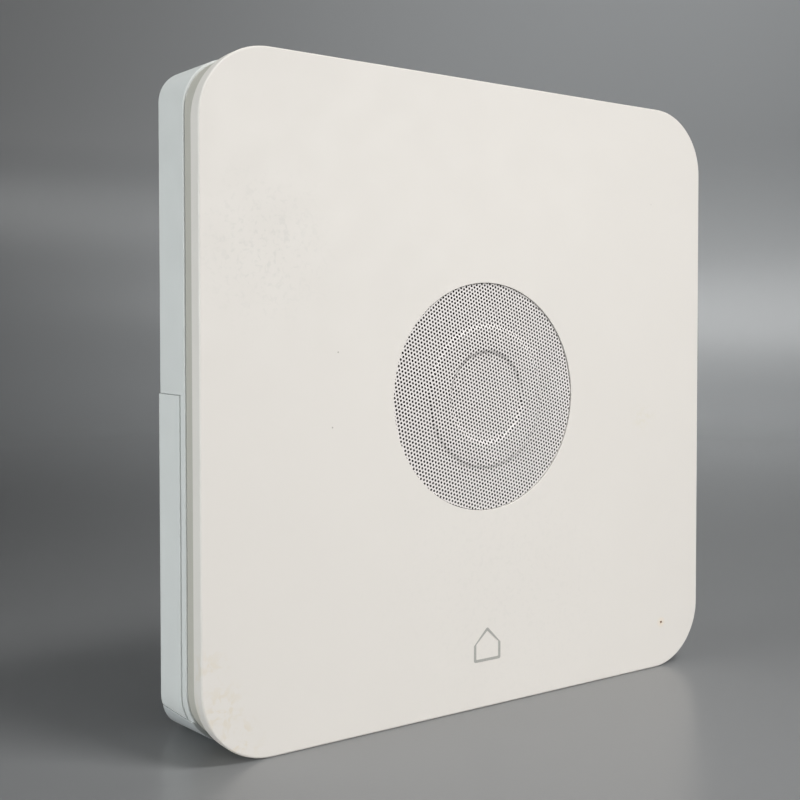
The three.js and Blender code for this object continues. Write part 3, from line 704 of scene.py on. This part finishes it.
def place(name, piece, node, look=None, bevel=0.0, angle=35, replaces=True, slot=None):
    """Finishes a piece and puts it where its CAD node is, on that node's body."""
    soften(piece, bevel, angle)
    piece.data.transform(TO_FRAME)
    piece.name = name
    slot = slot or SLOT_OF[node]
    piece.data.materials.clear()
    piece.data.materials.append((look or LOOKS[slot][0]).material)
    if replaces:
        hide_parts(node)
    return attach(piece, frame["nodes"][node]["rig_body"])


# ---- Front -----------------------------------------------------------------------------------


def panel_outline(inset):
    return rounded_plate(inset, inset, PANEL["corner"] - inset, 20, 20)


def front_panel():
    """The plate with its rounded front edge, the grille's stepped hole and the pocket behind."""
    sides = len(panel_outline(0))
    edge, lip = PANEL["edge"], 0.1
    front, back, hole = PANEL_FRONT, PANEL_BACK, GRILLE["hole"]
    loops = [level(circle(hole, sides), GRILLE["seat"])]
    for grow, drop in quarter(6):
        loops.append(level(circle(hole + lip * grow, sides), front + lip * drop))
    for drop, inward in quarter(6):
        loops.append(level(panel_outline(edge * inward), front + edge * drop))
    for inward, depth in ((0, back - 0.2), (0.06, back - 0.06), (0.2, back)):
        loops.append(level(panel_outline(inward), depth))
    pocket = panel_outline(PANEL["rim"])
    loops += [level(pocket, back), level(pocket, PANEL["skin"])]
    loops += [level(circle(GRILLE["ledge"], sides), PANEL["skin"])]
    loops += [level(circle(GRILLE["ledge"], sides), GRILLE["seat"])]
    return cut(loft(loops, closed=True), rod(STATUS["hole"], -1, 5, STATUS["x"], STATUS["z"], 24))


def emboss(radius):
    """Depth of the grille's front at a radius."""
    def ramp(edge):
        share = min(1, max(0, (radius - edge) / EMBOSS["slope"] / 2 + 0.5))
        return share * share * (3 - 2 * share)
    raised = ramp(EMBOSS["inner"]) - ramp(EMBOSS["outer"])
    low = EMBOSS["centre"] if radius < (EMBOSS["inner"] + EMBOSS["outer"]) / 2 else EMBOSS["low"]
    return low + (EMBOSS["high"] - low) * raised


def clipped(polygon, radius):
    """The part of a flat polygon inside a many-sided round."""
    sides = 160
    middle = math.atan2(sum(p[1] for p in polygon), sum(p[0] for p in polygon))
    near = round(middle / (2 * math.pi) * sides)
    apothem = radius * math.cos(math.pi / sides)
    for k in range(near - 4, near + 4):
        turn = 2 * math.pi * (k + 0.5) / sides
        nx, nz = math.cos(turn), math.sin(turn)
        kept = []
        for a, b in zip(polygon[-1:] + polygon[:-1], polygon):
            out_a, out_b = a[0] * nx + a[1] * nz - apothem, b[0] * nx + b[1] * nz - apothem
            if out_a * out_b < 0:
                share = out_a / (out_a - out_b)
                kept.append((a[0] + (b[0] - a[0]) * share, a[1] + (b[1] - a[1]) * share))
            if out_b <= 0:
                kept.append(b)
        polygon = kept
        if len(polygon) < 3:
            return []
    return polygon


def speaker_grille():
    """Sheet metal with a hexagonal lattice of punched holes, stamped with a low raised ring."""
    pitch, hole, radius = MESH["pitch"], MESH["hole"], GRILLE["radius"]
    reach = pitch / math.sqrt(3)
    cell = []
    for k in range(6):
        start, end = (math.radians(30 + 60 * n) for n in (k, k + 1))
        rim = [(hole * math.cos(a), hole * math.sin(a)) for a in (end, (start + end) / 2, start)]
        cell.append([(reach * math.cos(a), reach * math.sin(a)) for a in (start, end)] + rim)
    spin = Matrix.Rotation(MESH["turn"], 2)
    cell = [[tuple(spin @ Vector(point)) for point in part] for part in cell]
    rows = math.ceil(radius / pitch) + 2
    flat = []
    for i in range(-2 * rows, 2 * rows + 1):
        for j in range(-2 * rows, 2 * rows + 1):
            centre = spin @ Vector((pitch * (i + j / 2), pitch * j * math.sqrt(3) / 2))
            if centre.length > radius + reach:
                continue
            inside = centre.length < radius - reach
            for part in cell:
                moved = [(x + centre.x, z + centre.y) for x, z in part]
                moved = moved if inside else clipped(moved, radius)
                if len(moved) > 2:
                    flat.append(moved)
    found, points, faces = {}, [], []
    for polygon in flat:
        face = []
        for x, z in polygon:
            key = (round(x * 2000), round(z * 2000))
            index = found.get(key)
            if index is None:
                index = found[key] = len(points)
                points.append((x, z))
            if index not in face:
                face.append(index)
        if len(face) > 2:
            faces.append(face)
    used = {(a, b) for face in faces for a, b in zip(face, face[1:] + face[:1])}
    count = len(points)
    front = [(x, emboss(math.hypot(x, z)), z) for x, z in points]
    behind = [(x, depth + EMBOSS["sheet"], z) for x, depth, z in front]
    skins = faces + [[index + count for index in reversed(face)] for face in faces]
    walls = [(b, a, a + count, b + count) for a, b in used if (b, a) not in used]
    return solid(front + behind, skins + walls)


def pictogram():
    """A house outline with rounded strokes."""
    half, wall, roof, stroke, ink = 4.6, 4.6, 4.7, 0.75, 0.045
    loops = []
    for inset, depth, corner in ((0, ink, 0.55), (0, 0, 0.55), (stroke, 0, 0.25), (stroke, ink, 0.25)):
        apex = roof - inset * 1.4
        eaves = inset * 0.35
        corners = [(-half + inset, -wall + inset), (half - inset, -wall + inset), (half - inset, eaves),
                   (0, apex), (-half + inset, eaves)]
        loops.append(level(rounded_outline(corners, corner), depth))
    mark = loft(loops, closed=True)
    low, high = measured("printed_mark")
    mark.data.transform(Matrix.Translation((0, 0, (low.z + high.z) / 2 - (roof - wall) / 2)))
    return mark


def dust_mesh():
    """A disc of cloth behind the grille, thicker inside the panel's ledge than on it."""
    front, back, edge, step = GRILLE["seat"] - 0.045, 1.2, 30.8, 28.3
    rim = front + 0.04
    return turned([(0, front), (edge, front), (edge, rim), (step, rim), (step, back), (0, back)], 96)


place("front_panel_plate", front_panel(), "front_panel")
place("speaker_grille_sheet", speaker_grille(), "speaker_grille")
place("mark_pictogram", pictogram(), "printed_mark")

place("dust_mesh_cloth", dust_mesh(), "dust_mesh")

pipe_back = measured("status_light_pipe")[1].y
pipe_profile = [(0, 0.14), (0.3, 0.18), (0.38, 0.3), (0.38, 2.3), (0.6, 2.5), (1.3, 2.5), (1.5, 2.7),
                (1.5, pipe_back - 0.2), (1.3, pipe_back), (0, pipe_back)]
pipe = turned(pipe_profile, 32, STATUS["x"], STATUS["z"])
place("status_light_tip", pipe, "status_light_pipe", look=AMBER)

# ---- Mid frame -------------------------------------------------------------------------------


def neck(set_in):
    return rounded_plate(NECK["side"] + set_in, NECK["end"] + set_in, NECK["corner"] - set_in)


def speaker_screw_places():
    turns = [math.pi / 4 + k * math.pi / 2 for k in range(4)]
    return [(SPEAKER["screws"] * math.cos(turn), SPEAKER["screws"] * math.sin(turn)) for turn in turns]


def mid_frame():
    """The neck with its lip, the web across it, and the ring, bosses and posts that it carries."""
    back, lip_back, web, behind = NECK["back"], NECK["lip_back"], WEB["front"], WEB["back"]
    frame_body = join(slab(neck(0), NECK["front"], back), slab(neck(NECK["lip"]), back - 1, lip_back))
    cut(
        frame_body,
        slab(neck(NECK["wall"]), 0, web),
        slab(neck(NECK["wall"]), behind, back - 2),
        slab(neck(NECK["flange"]), behind, BOSS["back"]),
        rod(SPEAKER["hole"], 0, BOSS["back"], sides=96),
    )
    spokes = []
    for k in range(3):
        spoke = block(SPEAKER["spoke"], (web, behind), (-2, 2))
        spoke.data.transform(Matrix.Rotation(math.pi / 2 + k * 2 * math.pi / 3, 4, "Y"))
        spokes.append(spoke)
    inner, outer = SPEAKER["ledge"]
    ledge = turned([(inner, web), (outer, web), (outer, behind), (inner, behind)], 96)
    bosses = at_corners(BOSS["neck"], behind - 1, BOSS["back"])
    posts = [rod(3, behind - 1, BOARD_FRONT - 0.05, x, z) for x, z in POSTS]
    stakes = [rod(STAKE["radius"], behind - 1, STAKE["back"], side * STAKE["x"], STAKE["z"])
              for side in (-1, 1)]
    join(frame_body, ledge, *spokes, *bosses, *posts, *stakes)
    return cut(
        frame_body,
        *[rod(1.2, web + 0.5, 12, x, z, 16) for x, z in speaker_screw_places()],
        *at_corners(BOSS["pilot"], 13, BOSS["back"] + 1),
        *[rod(1.4, 7, 11, x, z, 16) for x, z in POSTS],
        rod(1.9, 5, 12, STATUS["x"], STATUS["z"]),
        block((-BAY["half"] - 3, BAY["half"] + 3), (11.9, lip_back + 1), (BAY["base"] - 0.4, -75)),
    )


place("mid_frame_neck", mid_frame(), "mid_frame", bevel=0.06)

# ---- Rear housing ----------------------------------------------------------------------------


def keyhole(x):
    """A wall screw's entry and slot, with the pocket behind them for its head."""
    z, entry, slot, rise = (KEYHOLE[key] for key in ("z", "entry", "slot", "rise"))
    bite = math.asin(slot / entry)
    outline = arc(x, z, entry, math.pi / 2 + bite, 2 * math.pi - 2 * bite, 32)
    outline += arc(x, z + rise, slot, 0, math.pi, 16)
    tall = (z - POCKET["below"], z + rise + POCKET["above"])
    across = (x - POCKET["half"], x + POCKET["half"])
    pocket = block(across, (POCKET["front"], SHELL["back"] - SHELL["wall"]), tall)
    return join(slab(outline, 32, SHELL["back"] + 1), pocket)


def pocket_walls(x):
    half, wall = POCKET["half"] + POCKET["wall"], POCKET["wall"]
    top = KEYHOLE["z"] + KEYHOLE["rise"] + POCKET["above"] + wall
    tall = (KEYHOLE["z"] - POCKET["below"] - wall, top)
    return block((x - half, x + half), (POCKET["front"] - wall, 33.5), tall)


def housing_outside():
    """The housing's outer form: the main shell, and below the cover a strip with squarer corners."""
    front, brow, strip_top = SHELL["front"], SHELL["brow"], COVER["bottom"] - COVER["seam"]
    strip = block(WIDE, (10, BASE["back"]), (0.1 - HALF, strip_top))
    base = common(shell_block(-BASE["proud"], front, BASE, brow), strip)
    above = cut(shell_block(0, front, SHELL, brow), block(WIDE, (10, FAR), (-100, strip_top)))
    return join(above, base)


def rear_housing():
    """The shell with the cover's seat, the port bay, screw bosses, keyholes and button holes."""
    back, wall, front = SHELL["back"], SHELL["wall"], SHELL["front"]
    seam, low, high_end = COVER["seam"], COVER["bottom"], COVER["top"] + COVER["seam"]
    behind_cover = block(WIDE, (COVER["front"] - seam, FAR), (low - seam, high_end))
    recess = cut(behind_cover, shell_block(COVER_SEAT, 10, SQUARE))
    high = block(WIDE, (front + wall, FAR), (high_end + wall, 100))
    high_cavity = common(shell_block(wall, front + wall), high)
    shell = cut(housing_outside(), recess, shell_block(LOW_CAVITY, 12, SQUARE), high_cavity)
    bay_half, bay_top = BAY["half"] + BAY["wall"], BAY["top"] + BAY["wall"]
    walls = [block((-bay_half, bay_half), (12, 31.5), (BAY["base"], bay_top))]
    for _, x, z in CORNERS:
        end = back - wall / 2 - (COVER_SEAT if z < 0 else 0)
        walls.append(rod(BOSS["housing"], BOSS["back"] + 0.2, end, x * FEET["x"], z * FEET["z"]))
    walls += [rod(2, BUTTONS["board"] + 1.25, 33.5, x, BUTTONS["z"], 20) for x in BUTTONS["posts"]]
    walls += [pocket_walls(x) for x in (-KEYHOLE["x"], KEYHOLE["x"])]
    join(shell, *walls)
    through = (BAY["top"] - 1, bay_top + 1)
    return cut(
        shell,
        block((-BAY["half"], BAY["half"]), (BAY["front"], PAST), (BAY["bottom"], BAY["top"])),
        keyhole(-KEYHOLE["x"]),
        keyhole(KEYHOLE["x"]),
        *at_corners(BOSS["clearance"], 15, PAST),
        *at_corners(BOSS["head"], 25, PAST),
        *[rod(FOOT_HOLE, back - 0.5, PAST, x * FEET["x"], FEET["z"], 48) for x in (-1, 1)],
        *[block((x - 4.5, x + 4.5), (28, PAST), (LATCH_Z - 1.4, LATCH_Z + 1.4)) for x in LATCHES],
        rod(4.8, 28, PAST, BUTTONS["setup"], BUTTONS["z"], 48),
        rod(1.3, 28, PAST, BUTTONS["reset"], BUTTONS["z"], 24),
        block((-24.4, -7.6), (11.2, 25.55), through),
        block((11.6, 21.4), (11.2, 23.05), through),
        *[block(x, CABLE_EXIT_DEPTH, (-HALF, BAY["bottom"] + 1)) for x in CABLE_EXITS],
    )


def rear_cover():
    """The wrap-round cover with its two latch tongues and the seats of the lower feet."""
    span = block(WIDE, (COVER["front"], FAR), (COVER["bottom"], COVER["top"]))
    cover = common(cut(shell_block(-COVER["proud"], COVER["front"]), shell_block(COVER_INNER, 10)), span)
    join(cover, *[block((x - 4.1, x + 4.1), (29, 33.6), (LATCH_Z - 1, LATCH_Z + 1)) for x in LATCHES])
    seat = SHELL["back"] + COVER["proud"] - 0.5
    return cut(cover, *[rod(FOOT_HOLE, seat, PAST, x * FEET["x"], -FEET["z"], 48) for x in (-1, 1)])


place("rear_housing_shell", rear_housing(), "rear_housing", bevel=0.16)
place("rear_cover_shell", rear_cover(), "rear_cover", bevel=0.16)

# ---- Feet, screws and buttons ------------------------------------------------------------------


def foot(front, back, x, z):
    radius = FEET["radius"]
    groove = [(4.3, back), (4.1, back - 0.25), (3.5, back - 0.25), (3.3, back)]
    profile = [(0, front), (radius, front), (radius, back - 0.45), (radius - 0.14, back - 0.14),
               (radius - 0.45, back), *groove, (0, back)]
    return turned(profile, 64, x, z)


def screw(head, height, shank, length, x, depth, z):
    """A pan-head screw with a crossed recess and a real thread, its head's underside at a depth."""
    top = [(0, 0), (head, 0), (head, height * 0.5), (head * 0.9, height * 0.82), (head * 0.7, height * 0.97),
           (head * 0.45, height), (0, height)]
    body = turned(top, 40)
    reach, width = head * 0.52, head * 0.12
    for tall, wide in ((reach, width), (width, reach)):
        flare = []
        for grow, along in ((0.6, height * 0.35), (1.1, height + 0.2)):
            a, b = wide * grow, tall * grow
            flare.append(level([(-a, -b), (a, -b), (a, b), (-a, b)], along))
        cut(body, loft(flare))
    pitch, sides, per_turn = shank * 0.55, 20, 8
    rings = []
    for k in range(int(length / pitch * per_turn) + 1):
        along = -length + k * pitch / per_turn
        taper = min(1, 0.35 + (along + length) / (shank * 1.6))
        ring = []
        for i in range(sides):
            turn = 2 * math.pi * i / sides
            phase = (along / pitch - i / sides) % 1
            radius = shank * taper * (0.76 + 0.24 * (1 - abs(2 * phase - 1)))
            ring.append((radius * math.cos(turn), min(along, 0.1), radius * math.sin(turn)))
        rings.append(ring)
    join(body, loft(rings))
    body.data.transform(Matrix.Translation((x, depth, z)))
    return body


for name, x, z in CORNERS:
    low, high = measured(f"foot_{name}")
    foot_piece = foot(low.y, high.y, x * FEET["x"], z * FEET["z"])
    place(f"foot_pad_{name}", foot_piece, f"foot_{name}", angle=80)
    screw_piece = screw(3, 2, 1.5, 11, x * FEET["x"], 25.05, z * FEET["z"])
    place(f"housing_screw_{name}_threaded", screw_piece, f"housing_screw_{name}")

for k, (x, z) in enumerate(POSTS, 1):
    place(f"board_screw_{k}_threaded", screw(2.5, 1.6, 1.2, 4.2, x, 11.65, z), f"board_screw_{k}")
for k, (x, z) in enumerate(speaker_screw_places(), 1):
    place(f"speaker_screw_{k}_threaded", screw(1.6, 1.2, 0.9, 3.4, x, 10.45, z), f"speaker_screw_{k}")


def button_cap():
    """The setup button: a stem, a flange that holds it in, and a dished face."""
    back = measured("setup_button")[1].y
    stem, flange, face, flat = 1.5, 6, 4.5, 4.05
    profile = [(0, back - 5.05), (stem, back - 5.05), (stem, back - 3.15), (flange, back - 3.15),
               (flange, back - 1.95), (face, back - 1.95), (face, back - 0.5), (4.36, back - 0.16),
               (flat, back)]
    dish = [(flat * (1 - k / 6), back - 0.28 * (1 - (1 - k / 6) ** 2)) for k in range(1, 7)]
    return turned(profile + dish, 64, BUTTONS["setup"], BUTTONS["z"])


place("setup_button_cap", button_cap(), "setup_button")

pin_low, pin_high = measured("reset_button")
pin_profile = [(0, pin_low.y), (1.1, pin_low.y), (1.1, pin_high.y - 0.25), (0.85, pin_high.y),
               (0, pin_high.y)]
place("reset_button_pin", turned(pin_profile, 32, BUTTONS["reset"], BUTTONS["z"]), "reset_button")

label_low, label_high = measured("blank_label")
label_corners = [(label_low.x, label_low.z), (label_high.x, label_low.z),
                 (label_high.x, label_high.z), (label_low.x, label_high.z)]
label = slab(rounded_outline(label_corners, 1.5), label_low.y, label_high.y)
place("blank_label_film", label, "blank_label")

# ---- Sockets ---------------------------------------------------------------------------------

jack_low, jack_high = measured("ethernet_jack")
JACK = {"x": (jack_low.x + jack_high.x) / 2, "depth": jack_low.y, "z": jack_low.z}


def jack_block(half, front, back, bottom, top):
    """A block on the network socket's middle line, measured from its front and its lower end."""
    depths = (JACK["depth"] + front, JACK["depth"] + back)
    return block((JACK["x"] - half, JACK["x"] + half), depths, (JACK["z"] + bottom, JACK["z"] + top))


def jack_contacts():
    """Eight bent contact springs."""
    pitch, half = 1.02, 0.22
    bends = ((3.75, 1.2), (4.1, 1.2), (6.3, 9.5), (6.0, 10.6), (5.6, 9.6))
    route = [(JACK["depth"] + depth, JACK["z"] + z) for depth, z in bends]
    springs = []
    for k in range(8):
        x = JACK["x"] + (k - 3.5) * pitch
        springs.append(loft([[(x + side, depth, z) for depth, z in route] for side in (-half, half)]))
    return join(springs[0], *springs[1:])


jack = cut(
    jack_block(8, 0, 13.5, 0, 21),
    jack_block(5.95, 2.85, 11, -1, 14),
    jack_block(3.2, 10, 12.6, -1, 9),
)
insert = cut(
    jack_block(5.9, 2.9, 10.9, 0.6, 13.9),
    jack_block(5.3, 3.6, 10.5, -1, 13),
    jack_block(3.1, 9, 12, -1, 8),
)
BLACK, STEEL = LOOKS["black_plastic"][0], LOOKS["steel"][0]
place("ethernet_jack_shield", jack, "ethernet_jack", bevel=0.25)
place("ethernet_jack_insert", insert, "ethernet_jack", BLACK, 0.15, replaces=False, slot="black_plastic")
place("ethernet_jack_contacts", jack_contacts(), "ethernet_jack", GOLD, replaces=False, slot="steel")

jack_low, jack_high = measured("power_jack")
px, pd, pz = (jack_low.x + jack_high.x) / 2, jack_low.y, jack_low.z


def upright(radius, bottom, top):
    """A round bar along the height, on the power socket's axis."""
    rings = [[(px + x, pd + 5.85 + y, z) for x, y in circle(radius, 40)] for z in (bottom, top)]
    return loft(rings)


socket = cut(block((px - 4.5, px + 4.5), (pd, pd + 11), (pz, pz + 14)), upright(3.2, pz - 1, pz + 10))
place("power_jack_body", socket, "power_jack", bevel=0.3)
pin = upright(0.95, pz + 1, pz + 10.5)
place("power_jack_pin", pin, "power_jack", STEEL, 0.3, replaces=False, slot="steel")

# ---- Floor, light and camera -------------------------------------------------------------------

VIEW_TURN = math.radians(34.88)
AHEAD = Vector((math.sin(VIEW_TURN), math.cos(VIEW_TURN), 0))


def sweep():
    """A seamless grey floor that curves up into a wall all round."""
    flat, bend, height = 0.85, 0.35, 1.9
    profile = [(0, 0), (flat * 0.25, 0), (flat * 0.5, 0)]
    profile += [(flat + bend * (1 - short), bend * rise) for rise, short in quarter(16)]
    profile.append((flat + bend, height))
    made = turned(profile, 128)
    made.data.transform(Matrix.Rotation(math.pi / 2, 4, "X"))
    if made.data.polygons[0].normal.z < 0:
        made.data.flip_normals()
    made.data.polygons.foreach_set("use_smooth", [True] * len(made.data.polygons))
    made.name = "studio_sweep"
    look = Look("studio_grey")
    clouds = look.noise(300, 0)
    colours = look.mix(clouds, (0.185, 0.19, 0.195), (0.20, 0.205, 0.21))
    look.set(colours, 0.28, look.bump(look.noise(1.2, 2), 0.01))
    made.data.materials.append(look.material)


def softbox(name, spot, target, width, height, watts, colour, spread=180):
    """A rectangular lamp at a spot, in metres, turned to a target."""
    light = bpy.data.lights.new(name, "AREA")
    light.shape = "RECTANGLE"
    light.spread = math.radians(spread)
    light.size, light.size_y = width, height
    light.energy = watts
    light.color = colour
    lamp = bpy.data.objects.new(name, light)
    lamp.location = spot
    lamp.rotation_euler = (Vector(target) - Vector(spot)).to_track_quat("-Z", "Y").to_euler()
    bpy.context.scene.collection.objects.link(lamp)


sweep()
WARM, COOL, NEUTRAL = (1, 0.987, 0.971), (0.97, 1, 0.999), (0.988, 1, 0.996)
middle = (0, 0, 0.085)
softbox("key", (0.35, -1.0, 0.26), middle, 1.1, 0.5, 7.3, WARM)
softbox("key_high", (-0.3, -1.1, 0.5), middle, 1.0, 0.6, 4.6, WARM)
softbox("floor_front", (0.2, -0.5, 1.0), (0, -0.15, 0), 0.3, 0.3, 0.8, WARM, 50)
softbox("left_low", (-0.9, 0.02, 0.17), middle, 0.4, 0.25, 0.47, COOL, 60)
softbox("left_high", (-1.0, 0.3, 0.45), middle, 0.5, 0.5, 0.29, COOL, 60)
softbox("backdrop", (0.5, -0.1, 1.1), (0.8, 0.75, 0.3), 0.5, 0.5, 3.4, NEUTRAL, 80)
softbox("top_right", (0.7, 0.5, 1.2), (0.7, 0.8, 0), 0.6, 0.6, 1.74, NEUTRAL, 90)

world = bpy.data.worlds.new("studio")
world.use_nodes = True
world.node_tree.nodes["Background"].inputs["Color"].default_value = (0.9, 0.95, 1, 1)
world.node_tree.nodes["Background"].inputs["Strength"].default_value = 0.02
bpy.context.scene.world = world

# The photo's own view, solved from the panel's outline; the shift is 27.4 of its 800 pixels.
camera = bpy.data.cameras.new("camera")
camera.sensor_width = 36
camera.lens = 51.70
camera.shift_y = -27.4 / 800
eye = bpy.data.objects.new("camera", camera)
pitch, roll = math.radians(-1.62), math.radians(-0.05)
gaze = AHEAD * math.cos(pitch) + Vector((0, 0, math.sin(pitch)))
turned_to = gaze.to_track_quat("-Z", "Y") @ Matrix.Rotation(roll, 3, "Z").to_quaternion()
eye.rotation_euler = turned_to.to_euler()
eye.location = (-0.19676, -0.25883, 0.0998)
bpy.context.scene.collection.objects.link(eye)
bpy.context.scene.camera = eye
bpy.context.scene.view_settings.view_transform = "Standard"
